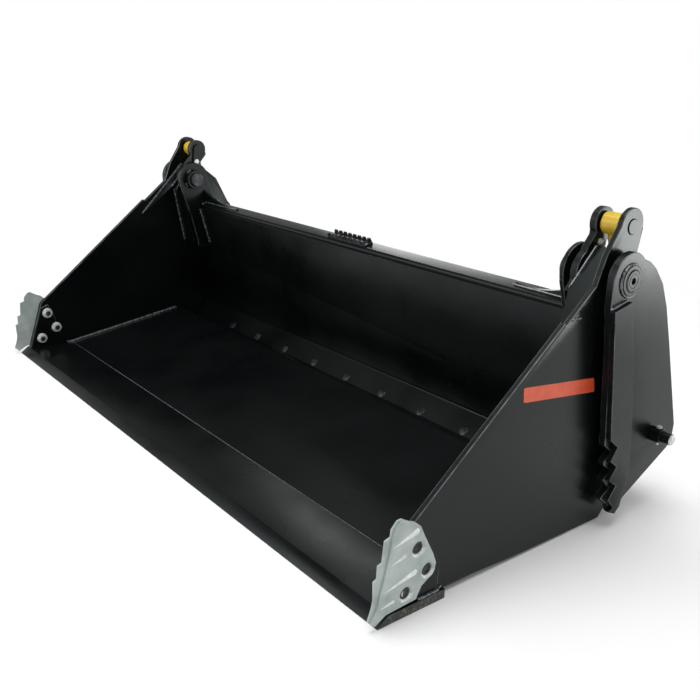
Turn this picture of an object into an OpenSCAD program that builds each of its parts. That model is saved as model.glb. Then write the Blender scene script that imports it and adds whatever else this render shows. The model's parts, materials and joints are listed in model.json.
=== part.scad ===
// Four-in-one skid steer bucket: a rear frame with a moldboard, a front jaw that opens on two hinge
// pins, and a hydraulic cylinder on each side. X runs across, Y to the rear, Z up, sizes in millimetres.

/* [Bucket] */
// Width of the front cutting edge
bucket_w = 1829; // [1600:1:2100]
// Height of the jaw's hinge line above the ground, which also sets the side view
hinge_h = 559; // [530:1:590]
// Thickness of the front cutting edge
edge_t = 20; // [16:0.5:22]
// Thickness of the rear bolt-on cutting edge
blade_t = 16; // [12:0.5:18]
// Bolts along the rear cutting edge
blade_bolts = 9; // [5:2:11]

/* [Plates] */
// Thickness of the jaw's side plates
side_t = 12; // [10:0.5:14]
// Thickness of the jaw's inner ears
ear_t = 16; // [12:0.5:18]
// Thickness of the frame's outer plates
outer_t = 16; // [12:0.5:18]
// Thickness of the toothed grip bars
grip_t = 13; // [8:0.5:16]
// Thickness of the moldboard and the jaw's floor
sheet_t = 8; // [6:0.5:9]

/* [Pins] */
// Diameter of the hinge pins
hinge_pin_d = 45; // [36:0.5:46]
// Diameter of the cylinders' upper pins
ear_pin_d = 30; // [24:0.5:32]
// Diameter of the cylinders' lower pins
base_pin_d = 26; // [22:0.5:30]

/* [Cylinders] */
// Outside diameter of the barrels
barrel_d = 52; // [46:0.5:54]
// Bore of the barrels
bore_d = 44; // [38:0.5:45]
// Diameter of the piston rods
rod_d = 28; // [22:0.5:30]
// Width of the yellow rod eyes
eye_w = 39; // [32:0.5:40]

/* [Quick attach] */
// Width of the attachment plate
mount_w = 1142; // [1060:1:1160]
// Distance from the plate's end to the middle of a pin slot
slot_inset = 62; // [55:0.5:100]
// Length of a pin slot
slot_l = 70; // [50:1:80]
// Width of a pin slot
slot_w = 32; // [24:1:36]

/* [Hidden] */
$fn = 64;

// Sideways positions, from the cutting edge's end inwards and outwards
half_w = bucket_w / 2;
edge_lip = 12.5;
side_out = half_w - edge_lip;
side_in = side_out - side_t;
pocket_w = 51;
ear_out = side_in - pocket_w;
ear_in = ear_out - ear_t;
ear_gap = 10;
inner_t = 10;
inner_out = ear_in - ear_gap;
inner_in = inner_out - inner_t;
outer_gap = 14;
outer_in = side_out + outer_gap;
outer_out = outer_in + outer_t;
grip_out = outer_out + grip_t;
blade_gap = 4;
blade_half = side_in - blade_gap;
barrel_gap = 2;
cyl_x = side_in - barrel_gap - barrel_d / 2;

// Places in the side view, as shares of the hinge height: rearward from the front tip, then up
hinge_shares = [1.0823, 1];
ear_pin_shares = [1.1306, 1.1771];
base_pin_shares = [1.3971, 0.3417];
hinge_at = hinge_h * hinge_shares;
ear_at = hinge_h * ear_pin_shares;
base_at = hinge_h * base_pin_shares;

// Fits
fit_gap = 0.05;
part_gap = 1;

// Front cutting edge and the wedge-shaped floor behind it
edge_d = 0.297 * hinge_h;
bevel_d = 23;
tip_t = 2;
lip_y = 1.0125 * hinge_h;
lip_z = 0.1538 * hinge_h;
floor_step = 1;
floor_z = edge_t - floor_step;
floor_slope = (lip_z - floor_z) / (lip_y - edge_d);
floor_drop = sheet_t * sqrt(1 + floor_slope * floor_slope);
bottom_t = 8;
bottom_end = 1.0733 * hinge_h;
bar_t = 12;
bar_run = 24;
rib_t = 8;
rib_front = 40;
rib_count = 6;

// Jaw side plate outline
side_shares = [
  [0.1181, 0.2719], [0.1252, 0.297], [0.1538, 0.3238], [0.8122, 0.8712], [0.8211, 0.8623],
  [0.8533, 0.8891], [0.9624, 0.9803], [1.0018, 1.0859], [1.0751, 1.2004], [1.2004, 1.1699],
  [1.1843, 1.0733], [1.1717, 0.8766], [1.3148, 0.3399], [1.3202, 0.2683], [1.2916, 0.1789],
  [1.2165, 0.0376], [1.186, 0.0036], [1.0072, 0.0054], [0.7102, 0.0089], [0.4347, 0.0215],
  [0.297, 0.0215]
];
ear_head_r = 37;
inner_ear_head_r = 31;
hinge_boss_r = 48;
bush_r = 30;
bush_out = outer_gap - part_gap;
inner_ear_shares = [
  [0.975, 0.9374], [0.9964, 0.9714], [1.025, 1.0358], [1.0483, 1.0948], [1.0859, 1.1395],
  [1.1091, 1.1986], [1.1807, 1.1807], [1.1896, 1.1449], [1.1521, 1.1002], [1.1664, 1.0018],
  [1.0733, 0.9159]
];

// Sloping cover between the ears and the baffle below it
cover_t = 6;
cover_slope = 46.4;
cover_gap = 3.3;
cover_run = 0.3605 * hinge_h;
cover_len = 0.4383 * hinge_h;
cover_free = 0.2433 * hinge_h;
baffle_t = 8;
baffle_low_shares = [1.093, 0.5921];
baffle_top_shares = [1.0125, 0.9928];
baffle_wide = 0.3041 * hinge_h;

// Corner plates and cast side cutters
corner_t = 6;
corner_front = 0.0447 * hinge_h;
corner_back = 0.2683 * hinge_h;
corner_shares = [[0.2737, 0.1413], [0.1789, 0.3005], [0.1538, 0.3202], [0.127, 0.2934], [0.1199, 0.2683]];
inner_corner_shares = [[0.2254, 0.093], [0.1932, 0.2147], [0.161, 0.2862], [0.1216, 0.2683]];
cutter_t = 12;
cutter_base_t = 8;
cutter_shares = [
  [0.0805, 0.3667], [0.1145, 0.347], [0.1377, 0.3381], [0.161, 0.3184], [0.1807, 0.2791],
  [0.2254, 0.1986], [0.2415, 0.1592], [0.2361, 0.1306], [0.2093, 0.1091], [0.1825, 0.093],
  [0.1699, 0.0698], [0.161, 0.0501], [0.0304, 0.0429], [-0.0143, 0.0179], [-0.0376, 0.0411],
  [-0.0233, 0.0823], [-0.0179, 0.1109], [-0.0215, 0.1789], [-0.0072, 0.186], [-0.0072, 0.2308],
  [0.0107, 0.2361], [0.0161, 0.3095], [0.0394, 0.3166], [0.0411, 0.3399], [0.0626, 0.3649]
];
cutter_rib_shares = [
  [[0.025, 0.3238], [0.1073, 0.3292], [0.1503, 0.3184], [0.1431, 0.3077], [0.0322, 0.3077]],
  [[0.0358, 0.2898], [0.1646, 0.3041], [0.1682, 0.2916], [0.0394, 0.2773]],
  [[-0.0036, 0.2165], [0.0322, 0.2308], [0.1002, 0.2451], [0.1038, 0.2343], [0.0358, 0.2165]],
  [[-0.0179, 0.1216], [0.0716, 0.1467], [0.136, 0.1717], [0.1592, 0.1503], [0.0751, 0.1288]],
  [[-0.0233, 0.0644], [0.0072, 0.0769], [0.0537, 0.0966], [0.059, 0.0841], [0.0107, 0.0626]]
];
cutter_hole_shares = [[0.1556, 0.2397], [0.2039, 0.1449], [0.1127, 0.0894]];
cutter_bolt_r = 8;
cutter_head_r = 14;
cutter_head_h = 7;
nut_r = 14;
nut_h = 12;

// Ear pins with a flag on the inner end
ear_pin_out = 2;
flag_t = 6;
flag_r = 17;
flag_end_r = 12;
flag_bolt_shares = [1.1163, 1.1038];
flag_bolt_r = 6;
flag_head_r = 9;
flag_head_h = 3.2;
flag_nut_r = 10;
flag_nut_h = 6;
washer_r = 21;
washer_in_h = 2.5;
washer_out_h = 7.5;

// Moldboard and rear cutting edge
mold_shares = [[1.1211, 0.8211], [1.2755, 0.297], [1.2826, 0.2504]];
wide_top = 0.5814 * hinge_h;
blade_tip = 1.0859 * hinge_h;
blade_top_shares = [1.2469, 0.1825];
blade_at = hinge_h * blade_top_shares;
blade_rise = atan2(blade_at[1], blade_at[0] - blade_tip);
leg_top = 0.1735 * hinge_h;
leg_end = 0.034 * hinge_h;
blade_bolt_z = 0.1091 * hinge_h;
blade_pitch_share = 0.0883;
blade_pitch = blade_pitch_share * bucket_w;
blade_bolt_r = 8;
blade_head_r = 13;
blade_head_h = 6;
blade_nut_r = 14;
blade_nut_h = 13;

// Top tube
tube_d = 50;
tube_h = 0.1789 * hinge_h;
tube_wall = 6;
tube_r = 9;
tube_top = 0.8408 * hinge_h;

// Gussets and step grip on the tube
gusset_l = 0.3542 * hinge_h;
gusset_h = 0.0823 * hinge_h;
gusset_tip = 4;
gusset_t = 8;
gusset_bow = 0.5367 * hinge_h;
gusset_back = 23;
step_l = 168;
step_w = 30;
step_t = 4;
step_teeth = 8;
step_tooth_h = 11;
step_tooth_t = 4;
step_back = 10;

// Outer plates, grip bars and inner plates
boss_r = 56;
outer_shares = [
  [0.983, 0.9875], [0.9875, 0.907], [1.0125, 0.7943], [1.0733, 0.3971], [1.0751, 0.3667],
  [1.127, 0.3292], [1.0841, 0.2952], [1.0912, 0.2791], [1.1395, 0.2487], [1.0948, 0.2182],
  [1.1467, 0.1699], [1.0966, 0.1377], [1.1628, 0.0894], [1.1753, 0.0537], [1.5331, 0.2451],
  [1.5599, 0.2916], [1.5599, 0.3435], [1.483, 0.542], [1.4168, 0.712], [1.3524, 0.8676],
  [1.2987, 0.9642], [1.2379, 1.0268], [1.195, 1.0555], [1.1521, 1.0698]
];
grip_shares = [
  [0.9821, 0.9034], [1.0733, 0.3971], [1.127, 0.356], [1.0948, 0.3041], [1.1395, 0.2719],
  [1.1038, 0.2218], [1.1556, 0.1878], [1.1181, 0.136], [1.1574, 0.0912], [1.1342, 0.0769],
  [1.1753, 0.059], [1.2021, 0.0841], [1.2343, 0.2147], [1.2021, 0.4293], [1.1252, 0.7621],
  [1.0823, 0.9267]
];
inner_front_shares = [[0.9857, 0.966], [1.0018, 0.9231], [1.0555, 0.78], [1.102, 0.6172], [1.1073, 0.5814]];
inner_rear_shares = [
  [1.3381, 0.1431], [1.5259, 0.2469], [1.5492, 0.2916], [1.5492, 0.3399], [1.4311, 0.6386],
  [1.3381, 0.8354], [1.3202, 0.8551], [1.2397, 1], [1.1699, 1.0519]
];
inner_foot = 0.1252 * hinge_h;
box_shares = [[1.4311, 0.6386], [1.5492, 0.3399], [1.5492, 0.2916], [1.5259, 0.2469], [1.3381, 0.1431]];
box_t = 8;

// Hinge pins and their collars
hinge_pin_out = 7;
hinge_pin_in = 27;
grease_r = 6.5;
grease_l = 12;
ring_r = 31;
ring_h = 5;
collar_r = 33;
collar_h = 18;

// Base pins: the ends stand in the frame, the middle rides in the barrel's eye
base_end_out = 51;
base_end_in = 10;
base_chamfer = 3;
base_collar_r = 17;
base_collar_h = 26;
cross_bolt_r = 3.5;
cross_bolt_l = 44;
cross_head_r = 6.5;
cross_head_h = 5;

// Quick-attach plate, heel and ribs
mount_top_shares = [1.3453, 0.8086];
mount_t = 10;
mount_foot = 0.1288 * hinge_h;
lip_l = 62;
lip_t = 12;
flange_t = 12;
slot_pitch = mount_w - 2 * slot_inset;
flange_end = 1.6816 * hinge_h;
slot_y = 1.6225 * hinge_h;
heel_low_shares = [1.2343, 0.1181];
heel_rise = 26;
heel_t = 10;
frame_rib_t = 10;
frame_rib_x = 195;

// Cylinders, measured along their axis from the base pin
stretch = norm(ear_at - base_at);
lean = atan2(base_at[0] - ear_at[0], ear_at[1] - base_at[1]);
base_eye_r = 26;
base_eye_w = 40;
barrel_end = 0.5653 * hinge_h;
bore_start = 42;
gland_in = 14;
gland_out = 8;
piston_h = 26;
piston_back = 12;
rod_eye_r = 22.5;
shank_r = 15.5;
shank_l = 0.0787 * hinge_h;
port_boss_r = 12;
port_boss_h = 14;
port_r = 7;
port_depth = 14;
port_low = 0.1145 * hinge_h;
port_high = 0.5081 * hinge_h;

// The origin lies under the middle of the whole bucket
front_y = hinge_h * cutter_shares[14][0];
mid_y = (front_y + flange_end) / 2;

// Colours
paint = [0.05, 0.05, 0.055];
cast = [0.62, 0.63, 0.62];
zinc = [0.75, 0.75, 0.73];
yellow = [0.93, 0.75, 0.1];
chrome = [0.86, 0.86, 0.88];
worn = [0.16, 0.16, 0.17];

// Outline helpers
function toward(a, b) = (b - a) / norm(b - a);
function left_of(a, b) = [-toward(a, b)[1], toward(a, b)[0]];
function both(a, b) = 2 * (a + b) / ((a + b) * (a + b));
function corner(p, i) =
  i == 0 ? left_of(p[0], p[1])
  : i == len(p) - 1 ? left_of(p[i - 1], p[i])
  : both(left_of(p[i - 1], p[i]), left_of(p[i], p[i + 1]));
function offset_line(p, t) = [for (i = [0 : len(p) - 1]) p[i] + t * corner(p, i)];
function strip(p, t) = concat(p, [for (i = [len(p) - 1 : -1 : 0]) p[i] + t * corner(p, i)]);
function on_line(a, b, z) = a[0] + (b[0] - a[0]) * (z - a[1]) / (b[1] - a[1]);

module origin_shift() {
  translate([0, -mid_y, 0]) children();
}

module on_side(s) {
  if (s < 0) {
    mirror([1, 0, 0]) children();
  } else {
    children();
  }
}

module both_sides() {
  for (s = [-1, 1]) on_side(s) children();
}

// A side-view outline carried across from x0 to x1
module slab(pts, x0, x1) {
  rotate([90, 0, 90]) translate([0, 0, x0]) linear_extrude(x1 - x0) polygon(pts);
}

// A round bar along X
module bar(r, x0, x1, at) {
  translate([x0, at[0], at[1]]) rotate([0, 90, 0]) cylinder(r = r, h = x1 - x0);
}

module ring(r_out, r_in, x0, x1, at) {
  difference() {
    bar(r_out, x0, x1, at);
    bar(r_in, x0 - part_gap, x1 + part_gap, at);
  }
}

// Front jaw
module cutting_edge() {
  color(worn) origin_shift() slab(
    [[0, 0], [0, tip_t], [bevel_d, edge_t], [edge_d, edge_t], [edge_d, 0]], -half_w, half_w
  );
}

function floor_under(y) = floor_z - floor_drop + floor_slope * (y - edge_d);

module jaw_floor() {
  color(paint) origin_shift() slab(
    [[edge_d, floor_z], [lip_y, lip_z], [lip_y, floor_under(lip_y)], [edge_d, floor_under(edge_d)]],
    -side_in, side_in
  );
}

module jaw_bottom() {
  color(paint) origin_shift() slab(
    [[edge_d, 0], [bottom_end, 0], [bottom_end, bottom_t], [edge_d, bottom_t]], -side_in, side_in
  );
}

module closing_bar() {
  color(paint) origin_shift() slab(
    [
      [lip_y, lip_z], [lip_y, floor_under(lip_y)], [lip_y + bar_run, bottom_t],
      [lip_y + bar_run + bar_t, bottom_t], [lip_y + bar_t, lip_z]
    ],
    -side_in, side_in
  );
}

module floor_ribs() {
  y0 = edge_d + rib_front;
  y1 = lip_y - part_gap;
  color(paint) origin_shift() for (i = [0 : rib_count - 1]) {
    x = (i - (rib_count - 1) / 2) * 2 * side_in / rib_count;
    slab(
      [[y0, floor_under(y0)], [y0, bottom_t], [y1, bottom_t], [y1, floor_under(y1)]],
      x - rib_t / 2, x + rib_t / 2
    );
  }
}

module cutter_holes(r, x0, x1) {
  for (h = cutter_hole_shares) bar(r, x0, x1, hinge_h * h);
}

module side_plate(s) {
  color(paint) origin_shift() on_side(s) difference() {
    union() {
      slab(
        concat([[bevel_d, edge_t]], hinge_h * side_shares, [[edge_d, edge_t]]), side_in, side_out
      );
      bar(ear_head_r, side_in, side_out, ear_at);
    }
    bar(bush_r, side_in - part_gap, side_out + part_gap, hinge_at);
    bar(ear_pin_d / 2, side_in - part_gap, side_out + part_gap, ear_at);
    cutter_holes(cutter_bolt_r, side_in - part_gap, side_out + part_gap);
  }
}

module inner_ear(s) {
  color(paint) origin_shift() on_side(s) difference() {
    union() {
      slab(hinge_h * inner_ear_shares, ear_in, ear_out);
      bar(inner_ear_head_r, ear_in, ear_out, ear_at);
      bar(hinge_boss_r, ear_in, ear_out, hinge_at);
    }
    bar(bush_r, ear_in - part_gap, ear_out + part_gap, hinge_at);
    bar(ear_pin_d / 2, ear_in - part_gap, ear_out + part_gap, ear_at);
    bar(flag_bolt_r, ear_in - part_gap, ear_out + part_gap, hinge_h * flag_bolt_shares);
  }
}

module ear_cover(s) {
  under = hinge_pin_d / 2 + cover_gap;
  color(paint) origin_shift() on_side(s) translate([0, hinge_at[0], hinge_at[1]])
    rotate([cover_slope, 0, 0]) translate([0, -cover_run, under]) linear_extrude(cover_t) polygon(
      [[side_in, 0], [side_in, cover_len], [ear_out, cover_len], [ear_out, cover_free]]
    );
}

module baffle(s) {
  low = hinge_h * baffle_low_shares;
  top = hinge_h * baffle_top_shares;
  long = norm(top - low);
  tilt = atan2(low[0] - top[0], top[1] - low[1]);
  color(paint) origin_shift() on_side(s) translate([0, low[0], low[1]]) rotate([tilt, 0, 0])
    rotate([90, 0, 0]) translate([0, 0, -baffle_t]) linear_extrude(baffle_t) polygon(
      [
        [ear_in, 0], [side_in, 0], [side_in, long], [ear_out, long],
        [ear_out, baffle_wide], [ear_in, baffle_wide]
      ]
    );
}

corner_foot = [[corner_front, edge_t], [corner_back, edge_t]];

module corner_plates() {
  color(paint) origin_shift() both_sides() {
    difference() {
      slab(concat(corner_foot, hinge_h * corner_shares), side_out, side_out + corner_t);
      cutter_holes(cutter_bolt_r, side_out - part_gap, side_out + corner_t + part_gap);
    }
    difference() {
      slab(concat(corner_foot, hinge_h * inner_corner_shares), side_in - corner_t, side_in);
      cutter_holes(cutter_bolt_r, side_in - corner_t - part_gap, side_in + part_gap);
    }
  }
}

module cutter_sinks(x1) {
  for (h = cutter_hole_shares) {
    at = hinge_h * h;
    bar(cutter_bolt_r, x1 - cutter_t - part_gap, x1 + part_gap, at);
    translate([x1 - cutter_head_h, at[0], at[1]]) rotate([0, 90, 0])
      cylinder(r1 = cutter_bolt_r, r2 = cutter_head_r, h = cutter_head_h);
    bar(cutter_head_r, x1, x1 + cutter_t, at);
  }
}

module side_cutter(s) {
  x0 = side_out + corner_t;
  color(cast) origin_shift() on_side(s) difference() {
    union() {
      slab(hinge_h * cutter_shares, x0, x0 + cutter_base_t);
      for (r = cutter_rib_shares) slab(hinge_h * r, x0, x0 + cutter_t);
    }
    cutter_sinks(x0 + cutter_base_t);
  }
}

module cutter_bolts() {
  x1 = side_out + corner_t + cutter_base_t;
  x0 = side_in - corner_t - nut_h;
  color(zinc) origin_shift() both_sides() for (h = cutter_hole_shares) {
    at = hinge_h * h;
    bar(cutter_bolt_r, x0, x1, at);
    translate([x1 - cutter_head_h, at[0], at[1]]) rotate([0, 90, 0])
      cylinder(r1 = cutter_bolt_r, r2 = cutter_head_r, h = cutter_head_h);
  }
}

module cutter_nuts() {
  x1 = side_in - corner_t;
  color(zinc) origin_shift() both_sides() for (h = cutter_hole_shares) {
    ring(nut_r, cutter_bolt_r, x1 - nut_h, x1, hinge_h * h);
  }
}

module hinge_bushes() {
  color(zinc) origin_shift() both_sides() {
    ring(bush_r, hinge_pin_d / 2 + fit_gap, ear_in, ear_out, hinge_at);
    ring(bush_r, hinge_pin_d / 2 + fit_gap, side_in, side_out + bush_out, hinge_at);
  }
}

module ear_pin(s) {
  bolt = hinge_h * flag_bolt_shares;
  x0 = ear_in - flag_t;
  across = left_of(ear_at, bolt);
  color(zinc) origin_shift() on_side(s) {
    bar(ear_pin_d / 2, x0, side_out + ear_pin_out, ear_at);
    difference() {
      union() {
        bar(flag_r, x0, ear_in, ear_at);
        bar(flag_end_r, x0, ear_in, bolt);
        slab(
          [
            ear_at + flag_r * across, bolt + flag_end_r * across,
            bolt - flag_end_r * across, ear_at - flag_r * across
          ],
          x0, ear_in
        );
      }
      bar(flag_bolt_r, x0 - part_gap, ear_in + part_gap, bolt);
    }
    bar(washer_r, ear_out, ear_out + washer_in_h, ear_at);
    bar(washer_r, side_in - washer_out_h, side_in, ear_at);
  }
}

module flag_bolts() {
  at = hinge_h * flag_bolt_shares;
  x0 = ear_in - flag_t;
  color(zinc) origin_shift() both_sides() {
    bar(flag_bolt_r, x0, ear_out, at);
    bar(flag_head_r, x0 - flag_head_h, x0, at);
    translate([ear_out, at[0], at[1]]) rotate([0, 90, 0])
      cylinder(r = flag_nut_r, h = flag_nut_h, $fn = 6);
  }
}

// Rear frame
function blade_back(z) = blade_tip + blade_t / sin(blade_rise) + z / tan(blade_rise);

mold_line = concat(
  hinge_h * mold_shares, [[blade_back(leg_top), leg_top], [blade_back(leg_end), leg_end]]
);
mold_rear = offset_line(mold_line, sheet_t);
mold_lean = atan2(mold_line[1][0] - mold_line[0][0], mold_line[0][1] - mold_line[1][1]);

module moldboard() {
  color(paint) origin_shift() difference() {
    slab(strip(mold_line, sheet_t), -blade_half, blade_half);
    both_sides() translate([inner_in, mold_line[0][0] - tube_d, wide_top])
      cube([half_w, 3 * tube_d + tube_h, tube_h * 2]);
    for (i = [0 : blade_bolts - 1]) blade_hole(i, blade_bolt_r);
  }
}

// Places along one bolt of the rear edge, from the front face backwards
module at_bolt(i) {
  y = blade_tip + blade_bolt_z / tan(blade_rise);
  translate([(i - (blade_bolts - 1) / 2) * blade_pitch, y, blade_bolt_z])
    rotate([180 + blade_rise, 0, 0]) children();
}

module blade_hole(i, r) {
  at_bolt(i) translate([0, 0, -blade_t]) cylinder(r = r, h = 4 * blade_t);
}

module rear_edge() {
  back_top = [blade_at[0] + blade_t * sin(blade_rise), blade_at[1] - blade_t * cos(blade_rise)];
  color(worn) origin_shift() difference() {
    slab([[blade_tip, 0], blade_at, back_top, [blade_back(0), 0]], -blade_half, blade_half);
    for (i = [0 : blade_bolts - 1]) {
      blade_hole(i, blade_bolt_r);
      at_bolt(i) cylinder(r1 = blade_head_r, r2 = blade_bolt_r, h = blade_head_h);
    }
  }
}

module rear_edge_bolts() {
  color(zinc) origin_shift() for (i = [0 : blade_bolts - 1]) at_bolt(i) {
    cylinder(r1 = blade_head_r, r2 = blade_bolt_r, h = blade_head_h);
    cylinder(r = blade_bolt_r, h = blade_t + sheet_t + blade_nut_h);
  }
}

module rear_edge_nuts() {
  color(zinc) origin_shift() for (i = [0 : blade_bolts - 1]) at_bolt(i)
    translate([0, 0, blade_t + sheet_t]) difference() {
      cylinder(r = blade_nut_r, h = blade_nut_h, $fn = 6);
      translate([0, 0, -part_gap]) cylinder(r = blade_bolt_r, h = blade_nut_h + 2 * part_gap);
    }
}

// The tube lies against the moldboard's rear face; this frame has its front top corner as origin,
// with Y across the tube's top and Z up along the moldboard
tube_at = [on_line(mold_rear[0], mold_rear[1], tube_top), tube_top];

module on_tube() {
  translate([0, tube_at[0], tube_at[1]]) rotate([mold_lean, 0, 0]) children();
}

module round_box(x0, x1, w, h, r) {
  rotate([90, 0, 90]) translate([0, 0, x0]) linear_extrude(x1 - x0) union() {
    translate([r, -h]) square([w - 2 * r, h]);
    translate([0, r - h]) square([w, h - 2 * r]);
    for (y = [r, w - r], z = [-r, r - h]) translate([y, z]) circle(r);
  }
}

module top_tube() {
  color(paint) origin_shift() on_tube() difference() {
    round_box(-inner_in, inner_in, tube_d, tube_h, tube_r);
    translate([0, tube_wall, -tube_wall]) round_box(
      -inner_in - part_gap, inner_in + part_gap, tube_d - 2 * tube_wall,
      tube_h - 2 * tube_wall, tube_r - tube_wall
    );
  }
}

gusset_angle = atan2(gusset_h - gusset_tip, gusset_l);
gusset_chord = norm([gusset_l, gusset_h - gusset_tip]);
gusset_rise = sqrt(gusset_bow * gusset_bow - gusset_chord * gusset_chord / 4);

module gussets() {
  color(paint) origin_shift() both_sides() on_tube() translate([0, gusset_back + gusset_t, 0])
    rotate([90, 0, 0]) linear_extrude(gusset_t) difference() {
      translate([inner_in - gusset_l, 0]) square([gusset_l, gusset_h]);
      translate([
        inner_in - gusset_l / 2 - gusset_rise * sin(gusset_angle),
        (gusset_h + gusset_tip) / 2 + gusset_rise * cos(gusset_angle)
      ]) circle(gusset_bow, $fn = 180);
    }
}

module step_grip() {
  pitch = step_l / step_teeth;
  color(zinc) origin_shift() on_tube() translate([-step_l / 2, step_back, 0]) {
    cube([step_l, step_w, step_t]);
    for (i = [0 : step_teeth - 1], y = [0, step_w - step_tooth_t])
      translate([i * pitch, y + step_tooth_t, step_t]) rotate([90, 0, 0])
        linear_extrude(step_tooth_t) polygon(
          [[0, 0], [pitch * 0.9, 0], [pitch * 0.7, step_tooth_h], [pitch * 0.2, step_tooth_h]]
        );
  }
}

module outer_plate(s) {
  color(paint) origin_shift() on_side(s) difference() {
    union() {
      slab(hinge_h * outer_shares, outer_in, outer_out);
      bar(boss_r, outer_in, outer_out, hinge_at);
    }
    bar(hinge_pin_d / 2, outer_in - part_gap, outer_out + part_gap, hinge_at);
    bar(base_pin_d / 2, outer_in - part_gap, outer_out + part_gap, base_at);
  }
}

module grip_bar(s) {
  color(paint) origin_shift() on_side(s) slab(hinge_h * grip_shares, outer_out, grip_out);
}

module inner_plate(s) {
  rear_z = on_line(mold_rear[0], mold_rear[1], wide_top);
  leg = on_line(mold_rear[3], mold_rear[4], inner_foot);
  color(paint) origin_shift() on_side(s) difference() {
    union() {
      slab(
        concat(
          hinge_h * inner_front_shares,
          [[rear_z, wide_top], mold_rear[1], mold_rear[2], mold_rear[3], [leg, inner_foot]],
          hinge_h * inner_rear_shares
        ),
        inner_in, inner_out
      );
      bar(boss_r, inner_in, inner_out, hinge_at);
    }
    bar(hinge_pin_d / 2, inner_in - part_gap, inner_out + part_gap, hinge_at);
    bar(base_pin_d / 2, inner_in - part_gap, inner_out + part_gap, base_at);
  }
}

module cylinder_box(s) {
  color(paint) origin_shift() on_side(s)
    slab(strip(hinge_h * box_shares, -box_t), inner_out, outer_in);
}

module hinge_pin(s) {
  x1 = outer_out + hinge_pin_out;
  color(zinc) origin_shift() on_side(s) difference() {
    bar(hinge_pin_d / 2, inner_in - hinge_pin_in, x1, hinge_at);
    bar(grease_r, x1 - grease_l, x1 + part_gap, hinge_at);
  }
}

module hinge_collars() {
  color(paint) origin_shift() both_sides() {
    ring(ring_r, hinge_pin_d / 2, outer_out, outer_out + ring_h, hinge_at);
    ring(collar_r, hinge_pin_d / 2, inner_in - collar_h, inner_in, hinge_at);
  }
}

module base_end() {
  r = base_pin_d / 2;
  x1 = outer_out + base_end_out;
  bar(r, outer_in - part_gap, x1 - base_chamfer, base_at);
  translate([x1 - base_chamfer, base_at[0], base_at[1]]) rotate([0, 90, 0])
    cylinder(r1 = r, r2 = r - base_chamfer, h = base_chamfer);
}

cross_x = outer_out + 0.6 * base_collar_h;

module cross_hole(r) {
  translate([cross_x, base_at[0], base_at[1] - cross_bolt_l / 2])
    cylinder(r = r, h = cross_bolt_l);
}

module base_pins() {
  color(zinc) origin_shift() both_sides() {
    difference() {
      base_end();
      cross_hole(cross_bolt_r);
    }
    bar(base_pin_d / 2, inner_in - base_end_in, inner_out + part_gap, base_at);
  }
}

module base_collars() {
  color(paint) origin_shift() both_sides() difference() {
    ring(base_collar_r, base_pin_d / 2, outer_out, outer_out + base_collar_h, base_at);
    cross_hole(cross_bolt_r);
  }
}

module cross_bolts() {
  color(zinc) origin_shift() both_sides() {
    cross_hole(cross_bolt_r);
    translate([cross_x, base_at[0], base_at[1] + base_collar_r])
      cylinder(r = cross_head_r, h = cross_head_h, $fn = 6);
  }
}

mount_dir = [sin(mold_lean), -cos(mold_lean)];
mount_out = [cos(mold_lean), sin(mold_lean)];
mount_top = hinge_h * mount_top_shares;
mount_back = mount_top + mount_t * mount_out;

module mount_plate() {
  foot = on_line(mount_top, mount_top + mount_dir, mount_foot);
  foot_back = on_line(mount_back, mount_back + mount_dir, mount_foot);
  color(paint) origin_shift()
    slab([mount_top, mount_back, [foot_back, mount_foot], [foot, mount_foot]], -mount_w / 2, mount_w / 2);
}

module mount_lip() {
  hook = (mount_dir + mount_out) / norm(mount_dir + mount_out);
  low = mount_back + lip_t * sqrt(2) * mount_dir;
  end = low + lip_l * hook;
  color(paint) origin_shift()
    slab([mount_back, low, end, end + lip_t * [-hook[1], hook[0]]], -mount_w / 2, mount_w / 2);
}

module mount_flange() {
  foot = on_line(mount_top, mount_top + mount_dir, mount_foot);
  color(paint) origin_shift() difference() {
    translate([-mount_w / 2, foot, mount_foot - flange_t])
      cube([mount_w, flange_end - foot, flange_t]);
    for (s = [-1, 1]) translate([s * slot_pitch / 2, slot_y, mount_foot - flange_t - part_gap])
      linear_extrude(flange_t + 2 * part_gap) union() {
        square([slot_l - slot_w, slot_w], center = true);
        for (e = [-1, 1]) translate([e * (slot_l - slot_w) / 2, 0]) circle(slot_w / 2);
      }
  }
}

// The heel closes the frame from below, from the moldboard's foot up to the mount plate
heel_at = hinge_h * heel_low_shares;
heel_dir = [cos(heel_rise), sin(heel_rise)];
heel_up = [-sin(heel_rise), cos(heel_rise)];
function meet(p, d, q, e) =
  p + d * ((q[0] - p[0]) * e[1] - (q[1] - p[1]) * e[0]) / (d[0] * e[1] - d[1] * e[0]);
leg_dir = mold_rear[3] - mold_rear[4];
heel_a = meet(heel_at, heel_dir, mold_rear[4], leg_dir);
heel_b = meet(heel_at, heel_dir, mount_top, mount_dir);
heel_c = meet(heel_at + heel_t * heel_up, heel_dir, mount_top, mount_dir);
heel_d = meet(heel_at + heel_t * heel_up, heel_dir, mold_rear[4], leg_dir);

module heel_plate() {
  color(paint) origin_shift() slab([heel_a, heel_b, heel_c, heel_d], -inner_in, inner_in);
}

module frame_ribs() {
  tube_low = tube_at + tube_h * mount_dir;
  tube_back = tube_low + tube_d * mount_out;
  outline = [
    tube_low, tube_back, tube_back - tube_h / 2 * mount_dir, mount_top + tube_r * mount_dir,
    heel_c, heel_d, mold_rear[3], mold_rear[2], mold_rear[1]
  ];
  color(paint) origin_shift() both_sides() for (x = [frame_rib_x, mount_w / 2])
    slab(outline, x - frame_rib_t, x);
}

// Cylinders: this frame stands on the base pin with Z along the cylinder
module on_cylinder(s) {
  origin_shift() on_side(s) translate([cyl_x, base_at[0], base_at[1]])
    rotate([lean, 0, 0]) children();
}

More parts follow.
